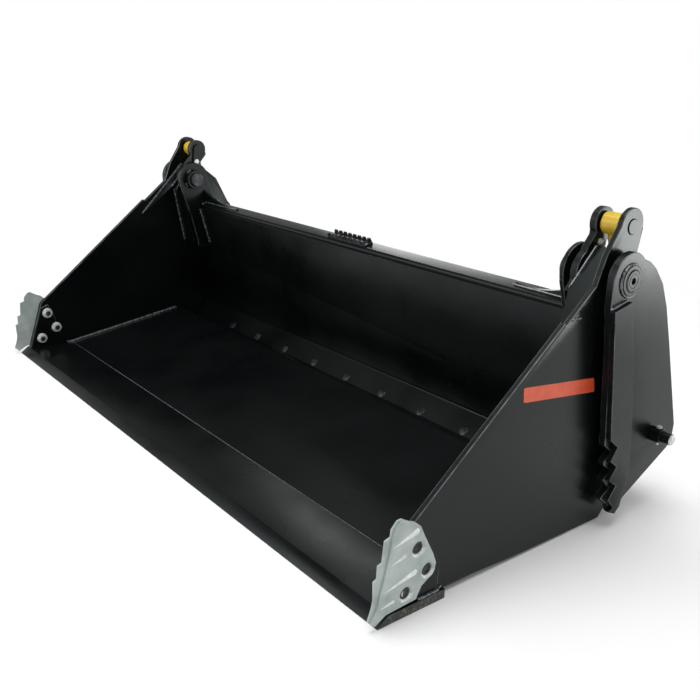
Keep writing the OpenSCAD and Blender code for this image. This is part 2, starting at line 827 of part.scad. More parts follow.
module cross_bar(r, w, z) {
  translate([-w / 2, 0, z]) rotate([0, 90, 0]) cylinder(r = r, h = w);
}

module barrel(s) {
  color(yellow) on_cylinder(s) difference() {
    union() {
      cylinder(r = barrel_d / 2, h = barrel_end);
      cross_bar(base_eye_r, base_eye_w, 0);
      for (z = [port_low, port_high]) translate([0, 0, z]) rotate([-90, 0, 0])
        cylinder(r = port_boss_r, h = barrel_d / 2 + port_boss_h);
    }
    translate([0, 0, bore_start]) cylinder(r = bore_d / 2, h = barrel_end);
    cross_bar(base_pin_d / 2, barrel_d + base_eye_w, 0);
    for (z = [port_low, port_high]) translate([0, barrel_d / 2 + port_boss_h - port_depth, z])
      rotate([-90, 0, 0]) cylinder(r = port_r, h = barrel_d);
  }
}

module gland(s) {
  color(paint) on_cylinder(s) difference() {
    union() {
      translate([0, 0, barrel_end - gland_in]) cylinder(r = bore_d / 2, h = gland_in);
      translate([0, 0, barrel_end]) cylinder(r = barrel_d / 2, h = gland_out);
    }
    translate([0, 0, barrel_end - gland_in - part_gap])
      cylinder(r = rod_d / 2 + fit_gap, h = gland_in + gland_out + 2 * part_gap);
  }
}

module base_pin_middle(s) {
  color(zinc) origin_shift() on_side(s) bar(
    base_pin_d / 2, inner_out + 2 * part_gap, outer_in - 2 * part_gap, base_at
  );
}

module rod(s) {
  piston_at = barrel_end - gland_in - piston_back - piston_h;
  color(chrome) on_cylinder(s) {
    translate([0, 0, piston_at]) cylinder(r = rod_d / 2, h = stretch - shank_l - piston_at);
    translate([0, 0, piston_at]) cylinder(r = bore_d / 2 - fit_gap, h = piston_h);
  }
}

module rod_eye(s) {
  color(yellow) on_cylinder(s) difference() {
    union() {
      translate([0, 0, stretch - shank_l]) cylinder(r = shank_r, h = shank_l);
      cross_bar(rod_eye_r, eye_w, stretch);
    }
    cross_bar(ear_pin_d / 2 + fit_gap, eye_w + 2 * part_gap, stretch);
  }
}

module side_plate_left() { side_plate(-1); }
module side_plate_right() { side_plate(1); }
module inner_ear_left() { inner_ear(-1); }
module inner_ear_right() { inner_ear(1); }
module ear_cover_left() { ear_cover(-1); }
module ear_cover_right() { ear_cover(1); }
module baffle_left() { baffle(-1); }
module baffle_right() { baffle(1); }
module side_cutter_left() { side_cutter(-1); }
module side_cutter_right() { side_cutter(1); }
module ear_pin_left() { ear_pin(-1); }
module ear_pin_right() { ear_pin(1); }
module outer_plate_left() { outer_plate(-1); }
module outer_plate_right() { outer_plate(1); }
module grip_bar_left() { grip_bar(-1); }
module grip_bar_right() { grip_bar(1); }
module inner_plate_left() { inner_plate(-1); }
module inner_plate_right() { inner_plate(1); }
module cylinder_box_left() { cylinder_box(-1); }
module cylinder_box_right() { cylinder_box(1); }
module hinge_pin_left() { hinge_pin(-1); }
module hinge_pin_right() { hinge_pin(1); }
module barrel_left() { barrel(-1); }
module barrel_right() { barrel(1); }
module gland_left() { gland(-1); }
module gland_right() { gland(1); }
module base_pin_middle_left() { base_pin_middle(-1); }
module base_pin_middle_right() { base_pin_middle(1); }
module rod_left() { rod(-1); }
module rod_right() { rod(1); }
module rod_eye_left() { rod_eye(-1); }
module rod_eye_right() { rod_eye(1); }

cutting_edge();
jaw_floor();
jaw_bottom();
closing_bar();
floor_ribs();
side_plate_left();
side_plate_right();
inner_ear_left();
inner_ear_right();
ear_cover_left();
ear_cover_right();
baffle_left();
baffle_right();
corner_plates();
side_cutter_left();
side_cutter_right();
cutter_bolts();
cutter_nuts();
hinge_bushes();
ear_pin_left();
ear_pin_right();
flag_bolts();
moldboard();
rear_edge();
rear_edge_bolts();
rear_edge_nuts();
top_tube();
gussets();
step_grip();
outer_plate_left();
outer_plate_right();
grip_bar_left();
grip_bar_right();
inner_plate_left();
inner_plate_right();
cylinder_box_left();
cylinder_box_right();
hinge_pin_left();
hinge_pin_right();
hinge_collars();
base_pins();
base_collars();
cross_bolts();
mount_plate();
mount_lip();
mount_flange();
heel_plate();
frame_ribs();
barrel_left();
barrel_right();
gland_left();
gland_right();
base_pin_middle_left();
base_pin_middle_right();
rod_left();
rod_right();
rod_eye_left();
rod_eye_right();
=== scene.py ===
"""A four-in-one skid steer bucket, black powder-coated, with its jaw closed on the ground."""
import json
import math
import random

import bmesh
import bpy
from mathutils import Matrix, Vector


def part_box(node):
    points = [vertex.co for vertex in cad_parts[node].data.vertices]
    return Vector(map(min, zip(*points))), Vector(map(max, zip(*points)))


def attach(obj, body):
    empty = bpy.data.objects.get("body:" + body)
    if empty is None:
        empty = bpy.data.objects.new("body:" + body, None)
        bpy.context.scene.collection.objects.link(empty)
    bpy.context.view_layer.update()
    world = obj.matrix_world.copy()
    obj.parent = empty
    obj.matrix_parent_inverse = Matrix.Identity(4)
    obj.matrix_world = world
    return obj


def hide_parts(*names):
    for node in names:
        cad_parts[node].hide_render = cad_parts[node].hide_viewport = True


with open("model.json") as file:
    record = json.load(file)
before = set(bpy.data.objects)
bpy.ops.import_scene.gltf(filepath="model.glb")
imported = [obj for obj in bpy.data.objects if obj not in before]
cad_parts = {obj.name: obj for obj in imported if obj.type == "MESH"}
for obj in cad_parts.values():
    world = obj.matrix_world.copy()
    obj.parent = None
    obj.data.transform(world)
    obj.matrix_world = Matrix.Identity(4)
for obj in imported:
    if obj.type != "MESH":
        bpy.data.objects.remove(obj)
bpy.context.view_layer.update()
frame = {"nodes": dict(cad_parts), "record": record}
BODY_OF = {n: b for b, ns in frame["record"]["behaviour"]["bodies"].items() for n in ns}
MM = 0.001
FRONT_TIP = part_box("cutting_edge")[0].y
SAME_POINT = 0.005 * MM
ripple_dice = random.Random(41)


def place(x, y, z):
    """A point in millimetres: x from the middle, y back from the front tip, z up."""
    return Vector((x * MM, y * MM + FRONT_TIP, z * MM))


# Camera

def set_camera():
    """Stands the camera where the photograph was taken, in the place and turn that were fitted to
    the picture's points."""
    azimuth, elevation, roll = (math.radians(a) for a in (50.59, 18.96, 2.16))
    stand = Vector((1.81988, -1.2996, 0.91845))
    back = Vector((
        math.sin(azimuth) * math.cos(elevation),
        -math.cos(azimuth) * math.cos(elevation),
        math.sin(elevation),
    ))
    level = Vector((math.cos(azimuth), math.sin(azimuth), 0))
    right = Matrix.Rotation(roll, 3, back) @ level
    up = back.cross(right)
    data = bpy.data.cameras.new("photograph_view")
    data.sensor_fit = "HORIZONTAL"
    data.sensor_width = 36
    data.lens = 42.911
    data.shift_x = 0.0070
    data.shift_y = 0.0178
    data.clip_end = 60
    camera = bpy.data.objects.new("camera", data)
    bpy.context.scene.collection.objects.link(camera)
    turn = Matrix((right, up, back)).transposed().to_4x4()
    camera.matrix_world = Matrix.Translation(stand) @ turn
    bpy.context.scene.camera = camera


# Materials

def linear(hex_colour):
    """An sRGB hex colour as the linear values that a shader takes."""
    parts = [int(hex_colour[i:i + 2], 16) / 255 for i in (1, 3, 5)]
    return (*[p / 12.92 if p <= 0.04045 else ((p + 0.055) / 1.055) ** 2.4 for p in parts], 1)


def per_metre(size_mm):
    """The scale that makes a texture repeat every size_mm."""
    return 1 / (size_mm * MM)


def add(tree, kind, values=None, links=None, **settings):
    """Adds a shader node with its settings, its input values and its incoming links."""
    made = tree.nodes.new("ShaderNode" + kind)
    for name, value in settings.items():
        setattr(made, name, value)
    for name, value in (values or {}).items():
        made.inputs[name].default_value = value
    for name, source in (links or {}).items():
        tree.links.new(source, made.inputs[name])
    return made


def new_material(name):
    """A material with its node tree and its Principled shader, and the place on the piece."""
    material = bpy.data.materials.new(name)
    material.use_nodes = True
    tree = material.node_tree
    shader = tree.nodes["Principled BSDF"]
    where = add(tree, "TexCoord").outputs["Object"]
    return material, tree, shader, where


def ramp(tree, source, stops):
    """A colour ramp on source, with its stops as (position, colour)."""
    made = add(tree, "ValToRGB", links={"Fac": source})
    elements = made.color_ramp.elements
    while len(elements) < len(stops):
        elements.new(0.5)
    for element, (position, colour) in zip(elements, stops):
        element.position = position
        element.color = colour
    return made.outputs["Color"]


def grey(level):
    """A grey as the linear values that a shader takes."""
    return (level, level, level, 1)


def black_powder_coat():
    """Black gloss powder coat, baked on. Its film pulls into a fine orange peel and follows the
    slow waves of the sheet, so reflections in it waver; handling leaves faint dull patches."""
    material, tree, shader, where = new_material("black_powder_coat")
    # Rolled plate waves over about 260 mm, and hands leave patches about 170 mm wide
    waves = add(tree, "TexNoise", {"Scale": per_metre(260), "Detail": 1.0}, {"Vector": where})
    # Orange peel is about 4 mm wide and dust specks under 1 mm, drawn 9 and 5 mm wide to show
    peel = add(tree, "TexNoise", {"Scale": per_metre(9), "Detail": 1.0}, {"Vector": where})
    patches = add(tree, "TexNoise", {"Scale": per_metre(170), "Detail": 5.0}, {"Vector": where})
    dust = add(tree, "TexNoise", {"Scale": per_metre(5), "Detail": 2.0}, {"Vector": where})
    speck = ramp(tree, dust.outputs["Fac"], [(0.70, grey(0)), (0.76, grey(1))])
    tone = ramp(
        tree, patches.outputs["Fac"], [(0.3, linear("#050607")), (0.7, linear("#080a0b"))]
    )
    dusty = add(
        tree, "Mix", {"B": linear("#1c2123")}, {"A": tone, "Factor": speck}, data_type="RGBA"
    )
    dull = ramp(tree, patches.outputs["Fac"], [(0.35, grey(0.24)), (0.7, grey(0.36))])
    slow = add(
        tree, "Bump", {"Strength": 0.12, "Distance": 0.004}, {"Height": waves.outputs["Fac"]}
    )
    fine = add(
        tree, "Bump", {"Strength": 0.05, "Distance": 0.001},
        {"Height": peel.outputs["Fac"], "Normal": slow.outputs["Normal"]},
    )
    tree.links.new(dusty.outputs["Result"], shader.inputs["Base Color"])
    tree.links.new(dull, shader.inputs["Roughness"])
    tree.links.new(fine.outputs["Normal"], shader.inputs["Normal"])
    shader.inputs["IOR"].default_value = 1.5
    shader.inputs["Specular IOR Level"].default_value = 0.26
    shader.inputs["Specular Tint"].default_value = (0.86, 1, 0.97, 1)
    return material


def painted_cut_edge():
    """The same black coat over flame-cut plate: the torch leaves fine drag lines through the
    thickness, so the edge is rougher and catches the light in short streaks."""
    material, tree, shader, where = new_material("painted_cut_edge")
    # Drag lines about 1 mm apart, drawn 4 mm apart to show
    across = add(tree, "Mapping", {"Scale": (0.15, 1, 1)}, {"Vector": where})
    lines = add(
        tree, "TexNoise", {"Scale": per_metre(4), "Detail": 3.0, "Roughness": 0.7},
        {"Vector": across.outputs["Vector"]},
    )
    tone = ramp(tree, lines.outputs["Fac"], [(0.35, linear("#060708")), (0.75, linear("#15191a"))])
    bump = add(
        tree, "Bump", {"Strength": 0.5, "Distance": 0.001}, {"Height": lines.outputs["Fac"]}
    )
    tree.links.new(tone, shader.inputs["Base Color"])
    tree.links.new(bump.outputs["Normal"], shader.inputs["Normal"])
    shader.inputs["Roughness"].default_value = 0.4
    shader.inputs["Specular IOR Level"].default_value = 0.25
    return material


def corner_highlight_coat():
    """The black coat on a plate's rounded corner, slick and coloured paler as a painted highlight,
    so that the corner shows as a fine bright line."""
    material, tree, shader, where = new_material("coat_with_painted_corner_highlight")
    # The painted highlight brightens and fades along a corner over about 35 mm
    highlight_patches = add(tree, "TexNoise", {"Scale": per_metre(35), "Detail": 4.0}, {"Vector": where})
    tone = ramp(tree, highlight_patches.outputs["Fac"], [(0.35, linear("#1c2124")), (0.65, linear("#5a6265"))])
    tree.links.new(tone, shader.inputs["Base Color"])
    shader.inputs["Roughness"].default_value = 0.25
    shader.inputs["Specular IOR Level"].default_value = 0.7
    return material


def scuffed_edge():
    """Flame-cut ends of the cutting edges, where the coat is thin: dragged on concrete, they show
    grey and faintly brown steel in coarse flecks."""
    material, tree, shader, where = new_material("scuffed_edge")
    # Concrete tears flecks up to 7 mm wide
    flecks = add(
        tree, "TexNoise", {"Scale": per_metre(7), "Detail": 6.0, "Roughness": 0.75},
        {"Vector": where},
    )
    tone = ramp(
        tree, flecks.outputs["Fac"],
        [(0.42, linear("#101415")), (0.56, linear("#3d413c")), (0.68, linear("#857b66"))],
    )
    bump = add(
        tree, "Bump", {"Strength": 0.8, "Distance": 0.002}, {"Height": flecks.outputs["Fac"]}
    )
    tree.links.new(tone, shader.inputs["Base Color"])
    tree.links.new(bump.outputs["Normal"], shader.inputs["Normal"])
    shader.inputs["Roughness"].default_value = 0.55
    return material


def weld_with_painted_glints():
    """Weld bead under the same coat: thick and wet-looking on the wire's ripples. The pale grey on
    its ripples is a painted glint along its length."""
    material, tree, shader, where = new_material("weld_with_painted_glints")
    # The wire's ripples are about 5 mm long; the pale grey on them is a painted glint
    grain = add(tree, "TexNoise", {"Scale": per_metre(5), "Detail": 2.0}, {"Vector": where})
    tone = ramp(tree, grain.outputs["Fac"], [(0.38, linear("#14181a")), (0.62, linear("#5c6568"))])
    bump = add(
        tree, "Bump", {"Strength": 0.6, "Distance": 0.0012}, {"Height": grain.outputs["Fac"]}
    )
    tree.links.new(tone, shader.inputs["Base Color"])
    tree.links.new(bump.outputs["Normal"], shader.inputs["Normal"])
    shader.inputs["Roughness"].default_value = 0.22
    shader.inputs["Specular IOR Level"].default_value = 0.6
    shader.inputs["Coat Weight"].default_value = 1.0
    shader.inputs["Coat Roughness"].default_value = 0.08
    return material


def cast_steel():
    """Steel casting, shot blasted and left bare: pale, dull and slightly pitted, with brown
    flecks where rust has started."""
    material, tree, shader, where = new_material("shot_blasted_casting")
    # Shot leaves pits about 1 mm wide and rust starts in flecks of 3 mm, drawn 6 and 13 mm wide to
    # show; the sand mould leaves clouds about 45 mm wide
    skin = add(
        tree, "TexNoise", {"Scale": per_metre(6), "Detail": 6.0, "Roughness": 0.65},
        {"Vector": where},
    )
    cloud = add(tree, "TexNoise", {"Scale": per_metre(45), "Detail": 3.0}, {"Vector": where})
    rust = add(
        tree, "TexNoise", {"Scale": per_metre(13), "Detail": 6.0, "Roughness": 0.7},
        {"Vector": where},
    )
    tone = ramp(
        tree, cloud.outputs["Fac"],
        [(0.3, linear("#959f9c")), (0.5, linear("#a9b3af")), (0.72, linear("#bac3bf"))],
    )
    flecks = ramp(tree, rust.outputs["Fac"], [(0.66, grey(0)), (0.71, grey(0.9))])
    colour = add(
        tree, "Mix", {"B": linear("#8a6a42")}, {"A": tone, "Factor": flecks}, data_type="RGBA"
    )
    pits = add(
        tree, "Bump", {"Strength": 0.55, "Distance": 0.0012}, {"Height": skin.outputs["Fac"]}
    )
    tree.links.new(colour.outputs["Result"], shader.inputs["Base Color"])
    tree.links.new(pits.outputs["Normal"], shader.inputs["Normal"])
    shader.inputs["Metallic"].default_value = 0.35
    shader.inputs["Roughness"].default_value = 0.55
    return material


def casting_painted_highlight():
    """The same casting, coloured near white on its ridges and lips as a painted highlight."""
    material, tree, shader, where = new_material("casting_painted_highlight")
    # The painted highlight varies in streaks about 12 mm long
    grain = add(tree, "TexNoise", {"Scale": per_metre(12), "Detail": 4.0}, {"Vector": where})
    tone = ramp(tree, grain.outputs["Fac"], [(0.3, linear("#ccd4d1")), (0.65, linear("#eff3f1"))])
    tree.links.new(tone, shader.inputs["Base Color"])
    shader.inputs["Roughness"].default_value = 0.35
    return material


def zinc_plate():
    """Zinc-plated fasteners with a milky passivated skin: bright, faintly warm, finely grained."""
    material, tree, shader, where = new_material("zinc_plate")
    # The skin's grain is under 1 mm wide, drawn 7 mm wide to show
    grain = add(tree, "TexNoise", {"Scale": per_metre(7), "Detail": 4.0}, {"Vector": where})
    tone = ramp(tree, grain.outputs["Fac"], [(0.35, linear("#bcbeb8")), (0.7, linear("#e6e7e1"))])
    dull = ramp(tree, grain.outputs["Fac"], [(0.3, grey(0.28)), (0.7, grey(0.45))])
    tree.links.new(tone, shader.inputs["Base Color"])
    tree.links.new(dull, shader.inputs["Roughness"])
    shader.inputs["Metallic"].default_value = 0.45
    return material


def blackened_pin():
    """Turned pin steel with a worn black coat: dark, with paler metal showing at the end."""
    material, tree, shader, where = new_material("blackened_pin_steel")
    # The black wears off in blotches about 14 mm wide
    grain = add(tree, "TexNoise", {"Scale": per_metre(14), "Detail": 5.0}, {"Vector": where})
    tone = ramp(tree, grain.outputs["Fac"], [(0.4, linear("#191c1e")), (0.75, linear("#4a4e50"))])
    tree.links.new(tone, shader.inputs["Base Color"])
    shader.inputs["Metallic"].default_value = 0.4
    shader.inputs["Roughness"].default_value = 0.32
    return material


def yellow_enamel():
    """Chrome-yellow enamel, brushed on the cylinders at the works: glossy, slightly uneven."""
    material, tree, shader, where = new_material("yellow_enamel")
    # Brushed enamel levels out in waves about 30 mm long
    flow = add(tree, "TexNoise", {"Scale": per_metre(30), "Detail": 3.0}, {"Vector": where})
    tone = ramp(tree, flow.outputs["Fac"], [(0.3, linear("#c6a014")), (0.7, linear("#dcbb36"))])
    bump = add(tree, "Bump", {"Strength": 0.15, "Distance": 0.001}, {"Height": flow.outputs["Fac"]})
    tree.links.new(tone, shader.inputs["Base Color"])
    tree.links.new(bump.outputs["Normal"], shader.inputs["Normal"])
    shader.inputs["Roughness"].default_value = 0.3
    return material


def hard_chrome():
    """Hard chrome, ground and polished on the piston rods: a clear mirror with a fine haze."""
    material, tree, shader, where = new_material("hard_chrome")
    # Oil from the seals hazes the chrome over about 20 mm
    haze = add(tree, "TexNoise", {"Scale": per_metre(20), "Detail": 4.0}, {"Vector": where})
    dull = ramp(tree, haze.outputs["Fac"], [(0.3, grey(0.06)), (0.8, grey(0.14))])
    tree.links.new(dull, shader.inputs["Roughness"])
    shader.inputs["Base Color"].default_value = linear("#dcdde0")
    shader.inputs["Metallic"].default_value = 1.0
    return material


def orange_vinyl():
    """Orange vinyl film, smooth and a little softer in its shine than the coat around it."""
    material, tree, shader, where = new_material("orange_vinyl")
    # The film clings unevenly over about 25 mm
    cling = add(tree, "TexNoise", {"Scale": per_metre(25), "Detail": 2.0}, {"Vector": where})
    tone = ramp(tree, cling.outputs["Fac"], [(0.3, linear("#cf4a26")), (0.7, linear("#dc5730"))])
    tree.links.new(tone, shader.inputs["Base Color"])
    shader.inputs["Roughness"].default_value = 0.4
    return material


COAT = black_powder_coat()
CUT_EDGE = painted_cut_edge()
CORNER_HIGHLIGHT = corner_highlight_coat()
SCUFFED = scuffed_edge()
WELD_WITH_GLINTS = weld_with_painted_glints()
CASTING = cast_steel()
CASTING_HIGHLIGHT = casting_painted_highlight()
ZINC = zinc_plate()
PIN_STEEL = blackened_pin()
YELLOW = yellow_enamel()
CHROME = hard_chrome()
VINYL = orange_vinyl()


# Pieces

def finish_piece(name, bm, body, materials, replaces=()):
    """Turns a bmesh into a piece of the object, with flat faces and smooth round ones."""
    mesh = bpy.data.meshes.new(name)
    bm.to_mesh(mesh)
    bm.free()
    for material in materials:
        mesh.materials.append(material)
    smooth_below = 20
    mesh.shade_smooth()
    mesh.set_sharp_from_angle(angle=math.radians(smooth_below))
    piece = bpy.data.objects.new(name, mesh)
    bpy.context.scene.collection.objects.link(piece)
    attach(piece, body)
    if replaces:
        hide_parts(*replaces)
    return piece


def merged_copy(node):
    """The node's own shape with its triangles joined into whole faces."""
    seam_gap, flat_within = 0.02 * MM, math.radians(0.5)
    bm = bmesh.new()
    bm.from_mesh(frame["nodes"][node].data)
    bmesh.ops.remove_doubles(bm, verts=bm.verts, dist=seam_gap)
    bmesh.ops.dissolve_limit(bm, angle_limit=flat_within, verts=bm.verts, edges=bm.edges)
    return bm


def ease_edges(bm, width, shortest):
    """Rounds every sharp edge that is longer than shortest, as grinding and paint leave it."""
    sharp_above = math.radians(25)
    sharp = [
        e for e in bm.edges
        if len(e.link_faces) == 2 and e.calc_face_angle() > sharp_above
        and e.calc_length() > shortest * MM
    ]
    bmesh.ops.bevel(
        bm, geom=sharp, offset=width * MM, offset_type="OFFSET", affect="EDGES",
        segments=2, profile=0.5, material=-1, clamp_overlap=False,
    )


def eased(node, width, materials, cut=None, shortest=0):
    """A piece of the CAD with eased edges, where cut gives the number of each face's material."""
    bm = merged_copy(node)
    ease_edges(bm, width, shortest)
    bm.normal_update()
    if cut:
        for face in bm.faces:
            face.material_index = cut(face)
    return finish_piece(node + "_eased", bm, BODY_OF[node], materials, [node])


def round_the_edge(face):
    """Sorts the faces of a plate that stands along the side: flat, cut edge or rounded corner."""
    flat, cut_edge, corner = 0, 1, 2
    sideways = abs(face.normal.x)
    return flat if sideways > 0.97 else cut_edge if sideways < 0.2 else corner


def across_the_end(face):
    """Sorts the faces of a bar that runs across: its length or one of its two ends."""
    length, end = 0, 1
    return end if abs(face.normal.x) > 0.5 else length


def bead(bm, path, radius):
    """A weld bead along a path of points in millimetres, rippled by the wire's steps."""
    step, ring_sides, ripple, end_share = 3.5, 8, 0.14, 0.55
    points = []
    for start, end in zip(path, path[1:]):
        start, end = Vector(start), Vector(end)
        count = max(1, round((end - start).length / step))
        points += [start.lerp(end, i / count) for i in range(count)]
    points.append(Vector(path[-1]))
    loops = []
    for i, point in enumerate(points):
        before, after = points[max(i - 1, 0)], points[min(i + 1, len(points) - 1)]
        turn = (after - before).to_track_quat("Z", "X").to_matrix().to_4x4()
        ends = i in (0, len(points) - 1)
        share = end_share if ends else 1 + ripple_dice.uniform(-ripple, ripple)
        ring = bmesh.ops.create_circle(
            bm, cap_ends=ends, radius=radius * MM * share, segments=ring_sides,
            matrix=Matrix.Translation(place(*point)) @ turn,
        )["verts"]
        loops.append({e for v in ring for e in v.link_edges})
    for near, far in zip(loops, loops[1:]):
        bmesh.ops.bridge_loops(bm, edges=list(near | far))


def arc(x, y, z, radius, start, end):
    """Points in millimetres on part of a circle that faces sideways, from start to end degrees."""
    degrees_apart = 6
    count = max(2, round(abs(end - start) / degrees_apart))
    turns = [math.radians(start + (end - start) * i / count) for i in range(count + 1)]
    return [(x, y + radius * math.cos(t), z + radius * math.sin(t)) for t in turns]


def welds(name, body, seams):
    """One piece with every bead of a body. A seam on the right is there on the left too, and one
    that crosses the middle is there once."""
    bm = bmesh.new()
    for radius, path in seams:
        bead(bm, path, radius)
        crosses_middle = any(x < 0 for x, y, z in path)
        if not crosses_middle:
            bead(bm, [(-x, y, z) for x, y, z in path], radius)
    bmesh.ops.recalc_face_normals(bm, faces=bm.faces)
    # The beads' pale grey is a painted glint
    finish_piece(name, bm, body, [WELD_WITH_GLINTS])


def turned(bm, profile, y, z, side=1):
    """Turns a profile of (x, radius) points about the sideways axis through (y, z), on the right
    or, where side is -1, on the left."""
    corners = [bm.verts.new(place(x * side, y, z + radius)) for x, radius in profile]
    edges = [bm.edges.new(pair) for pair in zip(corners, corners[1:])]
    bmesh.ops.spin(
        bm, geom=corners + edges, cent=place(0, y, z), axis=(1, 0, 0), angle=math.tau,
        steps=48, use_merge=True,
    )
    bmesh.ops.remove_doubles(bm, verts=bm.verts, dist=SAME_POINT)


def hexagon(bm, seat, out, radius, height, rim):
    """A nut or head that stands on seat and points out, with the rim of its free end eased."""
    out = Vector(out)
    turn = out.to_track_quat("Z", "X").to_matrix().to_4x4()
    middle = place(*seat) + out * height * MM / 2
    made = bmesh.ops.create_cone(
        bm, cap_ends=True, segments=6, radius1=radius * MM, radius2=radius * MM,
        depth=height * MM, matrix=Matrix.Translation(middle) @ turn,
    )["verts"]
    free_end = {
        e for v in made for e in v.link_edges
        if all((corner.co - middle).dot(out) > 0 for corner in e.verts)
    }
    bmesh.ops.bevel(
        bm, geom=list(free_end), offset=rim * MM, offset_type="OFFSET", affect="EDGES",
        segments=2, profile=0.5, material=-1,
    )


def slab(bm, outline, x0, x1, soft=0, holes=(), hole_radius=0):
    """A plate that stands along the side: an outline of (y, z) from x0 to x1, with round holes,
    softened along its outline at x1."""
    corners = [bm.verts.new(place(x0, y, z)) for y, z in outline]
    rim = [bm.edges.new(pair) for pair in zip(corners, corners[1:] + corners[:1])]
    hole_rims = []
    for y, z in holes:
        made = bmesh.ops.create_circle(
            bm, radius=hole_radius * MM, segments=32,
            matrix=Matrix.Translation(place(x0, y, z)) @ Matrix.Rotation(math.pi / 2, 4, "Y"),
        )["verts"]
        hole_rims += {e for v in made for e in v.link_edges}
    filled = bmesh.ops.triangle_fill(bm, use_beauty=True, edges=rim + hole_rims)["geom"]
    faces = [g for g in filled if isinstance(g, bmesh.types.BMFace)]
    bmesh.ops.recalc_face_normals(bm, faces=faces)
    grown = bmesh.ops.extrude_face_region(bm, geom=faces, use_keep_orig=True)["geom"]
    raised = [g for g in grown if isinstance(g, bmesh.types.BMVert)]
    bmesh.ops.translate(bm, verts=raised, vec=((x1 - x0) * MM, 0, 0))
    if soft:
        spots = [place(x1, y, z) for y, z in outline]
        top_rim = [
            g for g in grown if isinstance(g, bmesh.types.BMEdge)
            and any(abs(f.normal.x) < 0.5 for f in g.link_faces)
            and all(min((v.co - s).length for s in spots) < 0.1 * MM for v in g.verts)
        ]
        bmesh.ops.bevel(
            bm, geom=top_rim, offset=soft * MM, offset_type="OFFSET", affect="EDGES",
            segments=3, profile=0.5, material=-1,
        )


def ridge(bm, front, back, floor_x, top_x, width):
    """A wedge that rises and widens from a sharp front end to a thick back end."""
    tail_share, nose_share, nose_length, crest_ease = 0.35, 0.25, 3, 1.6
    front, back = Vector(front), Vector(back)
    along = (back - front).normalized()
    aside = Vector((-along.y, along.x)) * width / 2
    tail = back + along * width * tail_share
    nose_x = floor_x + (top_x - floor_x) * nose_share
    points = {
        "front": (floor_x, *front), "upper": (floor_x, *(back + aside)),
        "lower": (floor_x, *(back - aside)), "tail": (floor_x, *tail),
        "crest": (top_x, *back), "nose": (nose_x, *(front + along * nose_length)),
    }
    made = {name: bm.verts.new(place(*spot)) for name, spot in points.items()}
    sides = [
        ("front", "upper", "nose"), ("nose", "upper", "crest"), ("front", "nose", "lower"),
        ("nose", "crest", "lower"), ("upper", "tail", "crest"), ("tail", "lower", "crest"),
        ("front", "lower", "tail", "upper"),
    ]
    faces = [bm.faces.new([made[name] for name in side]) for side in sides]
    bmesh.ops.recalc_face_normals(bm, faces=faces)
    bmesh.ops.bevel(
        bm, geom=list(made["crest"].link_edges), offset=crest_ease * MM, offset_type="OFFSET",
        affect="EDGES", segments=3, profile=0.5, material=-1, clamp_overlap=True,
    )


# From here on, places are in millimetres: x from the middle, y back from the front tip, z up.
# The middles of pins and bolts that lie sideways are (y, z)
HINGE = (605, 559)
FLAG_BOLT = (624, 617)
CUTTER_BOLTS = ((87, 134), (114, 81), (63, 50))
SIDES = (("left", -1), ("right", 1))

# Each width is that of the rounding, wider on thick flame-cut plate than on bars and pins
for side, _ in SIDES:
    for plate, width in (
        ("side_plate", 1.6), ("inner_ear", 1.2), ("outer_plate", 1.5), ("grip_bar", 1.2),
        ("inner_plate", 1.0),
    ):
        # The rounded corners take a paler colour, a painted highlight
        eased(f"{plate}_{side}", width, [COAT, CUT_EDGE, CORNER_HIGHLIGHT], round_the_edge)
    for plate in ("ear_cover", "baffle", "cylinder_box"):
        eased(f"{plate}_{side}", 0.8, [COAT])
    eased(f"ear_pin_{side}", 0.8, [COAT])
    eased(f"barrel_{side}", 1.0, [YELLOW])
    eased(f"rod_eye_{side}", 1.2, [YELLOW])
    eased(f"rod_{side}", 0.8, [CHROME])
    eased(f"gland_{side}", 1.0, [COAT])
    eased(f"base_pin_middle_{side}", 0.5, [PIN_STEEL])
for node, width in (
    ("jaw_floor", 0.6), ("jaw_bottom", 0.8), ("closing_bar", 1.0), ("floor_ribs", 0.5),
    ("corner_plates", 0.8), ("moldboard", 0.8), ("top_tube", 0.8), ("gussets", 0.8),
    ("hinge_collars", 1.0), ("base_collars", 1.0), ("mount_plate", 1.0), ("mount_lip", 1.2),
    ("mount_flange", 1.0), ("heel_plate", 0.8), ("frame_ribs", 0.8),
):
    eased(node, width, [COAT], shortest=5 if node == "corner_plates" else 0)
eased("cutting_edge", 0.7, [COAT, SCUFFED], across_the_end)
eased("rear_edge", 1.0, [COAT, SCUFFED], across_the_end, shortest=8)
eased("hinge_bushes", 0.8, [PIN_STEEL])
eased("rear_edge_nuts", 0.8, [ZINC])
eased("step_grip", 0.4, [PIN_STEEL])
eased("base_pins", 0.8, [COAT, ZINC], across_the_end)
eased("cross_bolts", 0.5, [ZINC])


def hinge_pin(side, sign):
    """A turned pin with chamfered ends and a grease hole in its outer end."""
    profile = [
        (776, 0), (776, 20.5), (778, 22.5), (936.6, 22.5), (939, 20.2), (939, 15.2),
        (938.4, 14.6), (938.4, 13.8), (939, 13.2), (939, 7.5), (938, 6.5), (927.5, 6.5), (927, 0),
    ]
    bm = bmesh.new()
    turned(bm, profile, *HINGE, sign)
    bmesh.ops.recalc_face_normals(bm, faces=bm.faces)
    finish_piece(
        f"hinge_pin_{side}_turned", bm, BODY_OF[f"hinge_pin_{side}"],
        [PIN_STEEL], [f"hinge_pin_{side}"],
    )


for side, sign in SIDES:
    hinge_pin(side, sign)


def mirrored_piece(name, bm, sign, body, materials, replaces=()):
    """A piece drawn on the right side, turned over to the left when sign is -1."""
    bmesh.ops.scale(bm, verts=bm.verts, vec=(sign, 1, 1))
    bmesh.ops.recalc_face_normals(bm, faces=bm.faces)
    finish_piece(name, bm, body, materials, replaces)


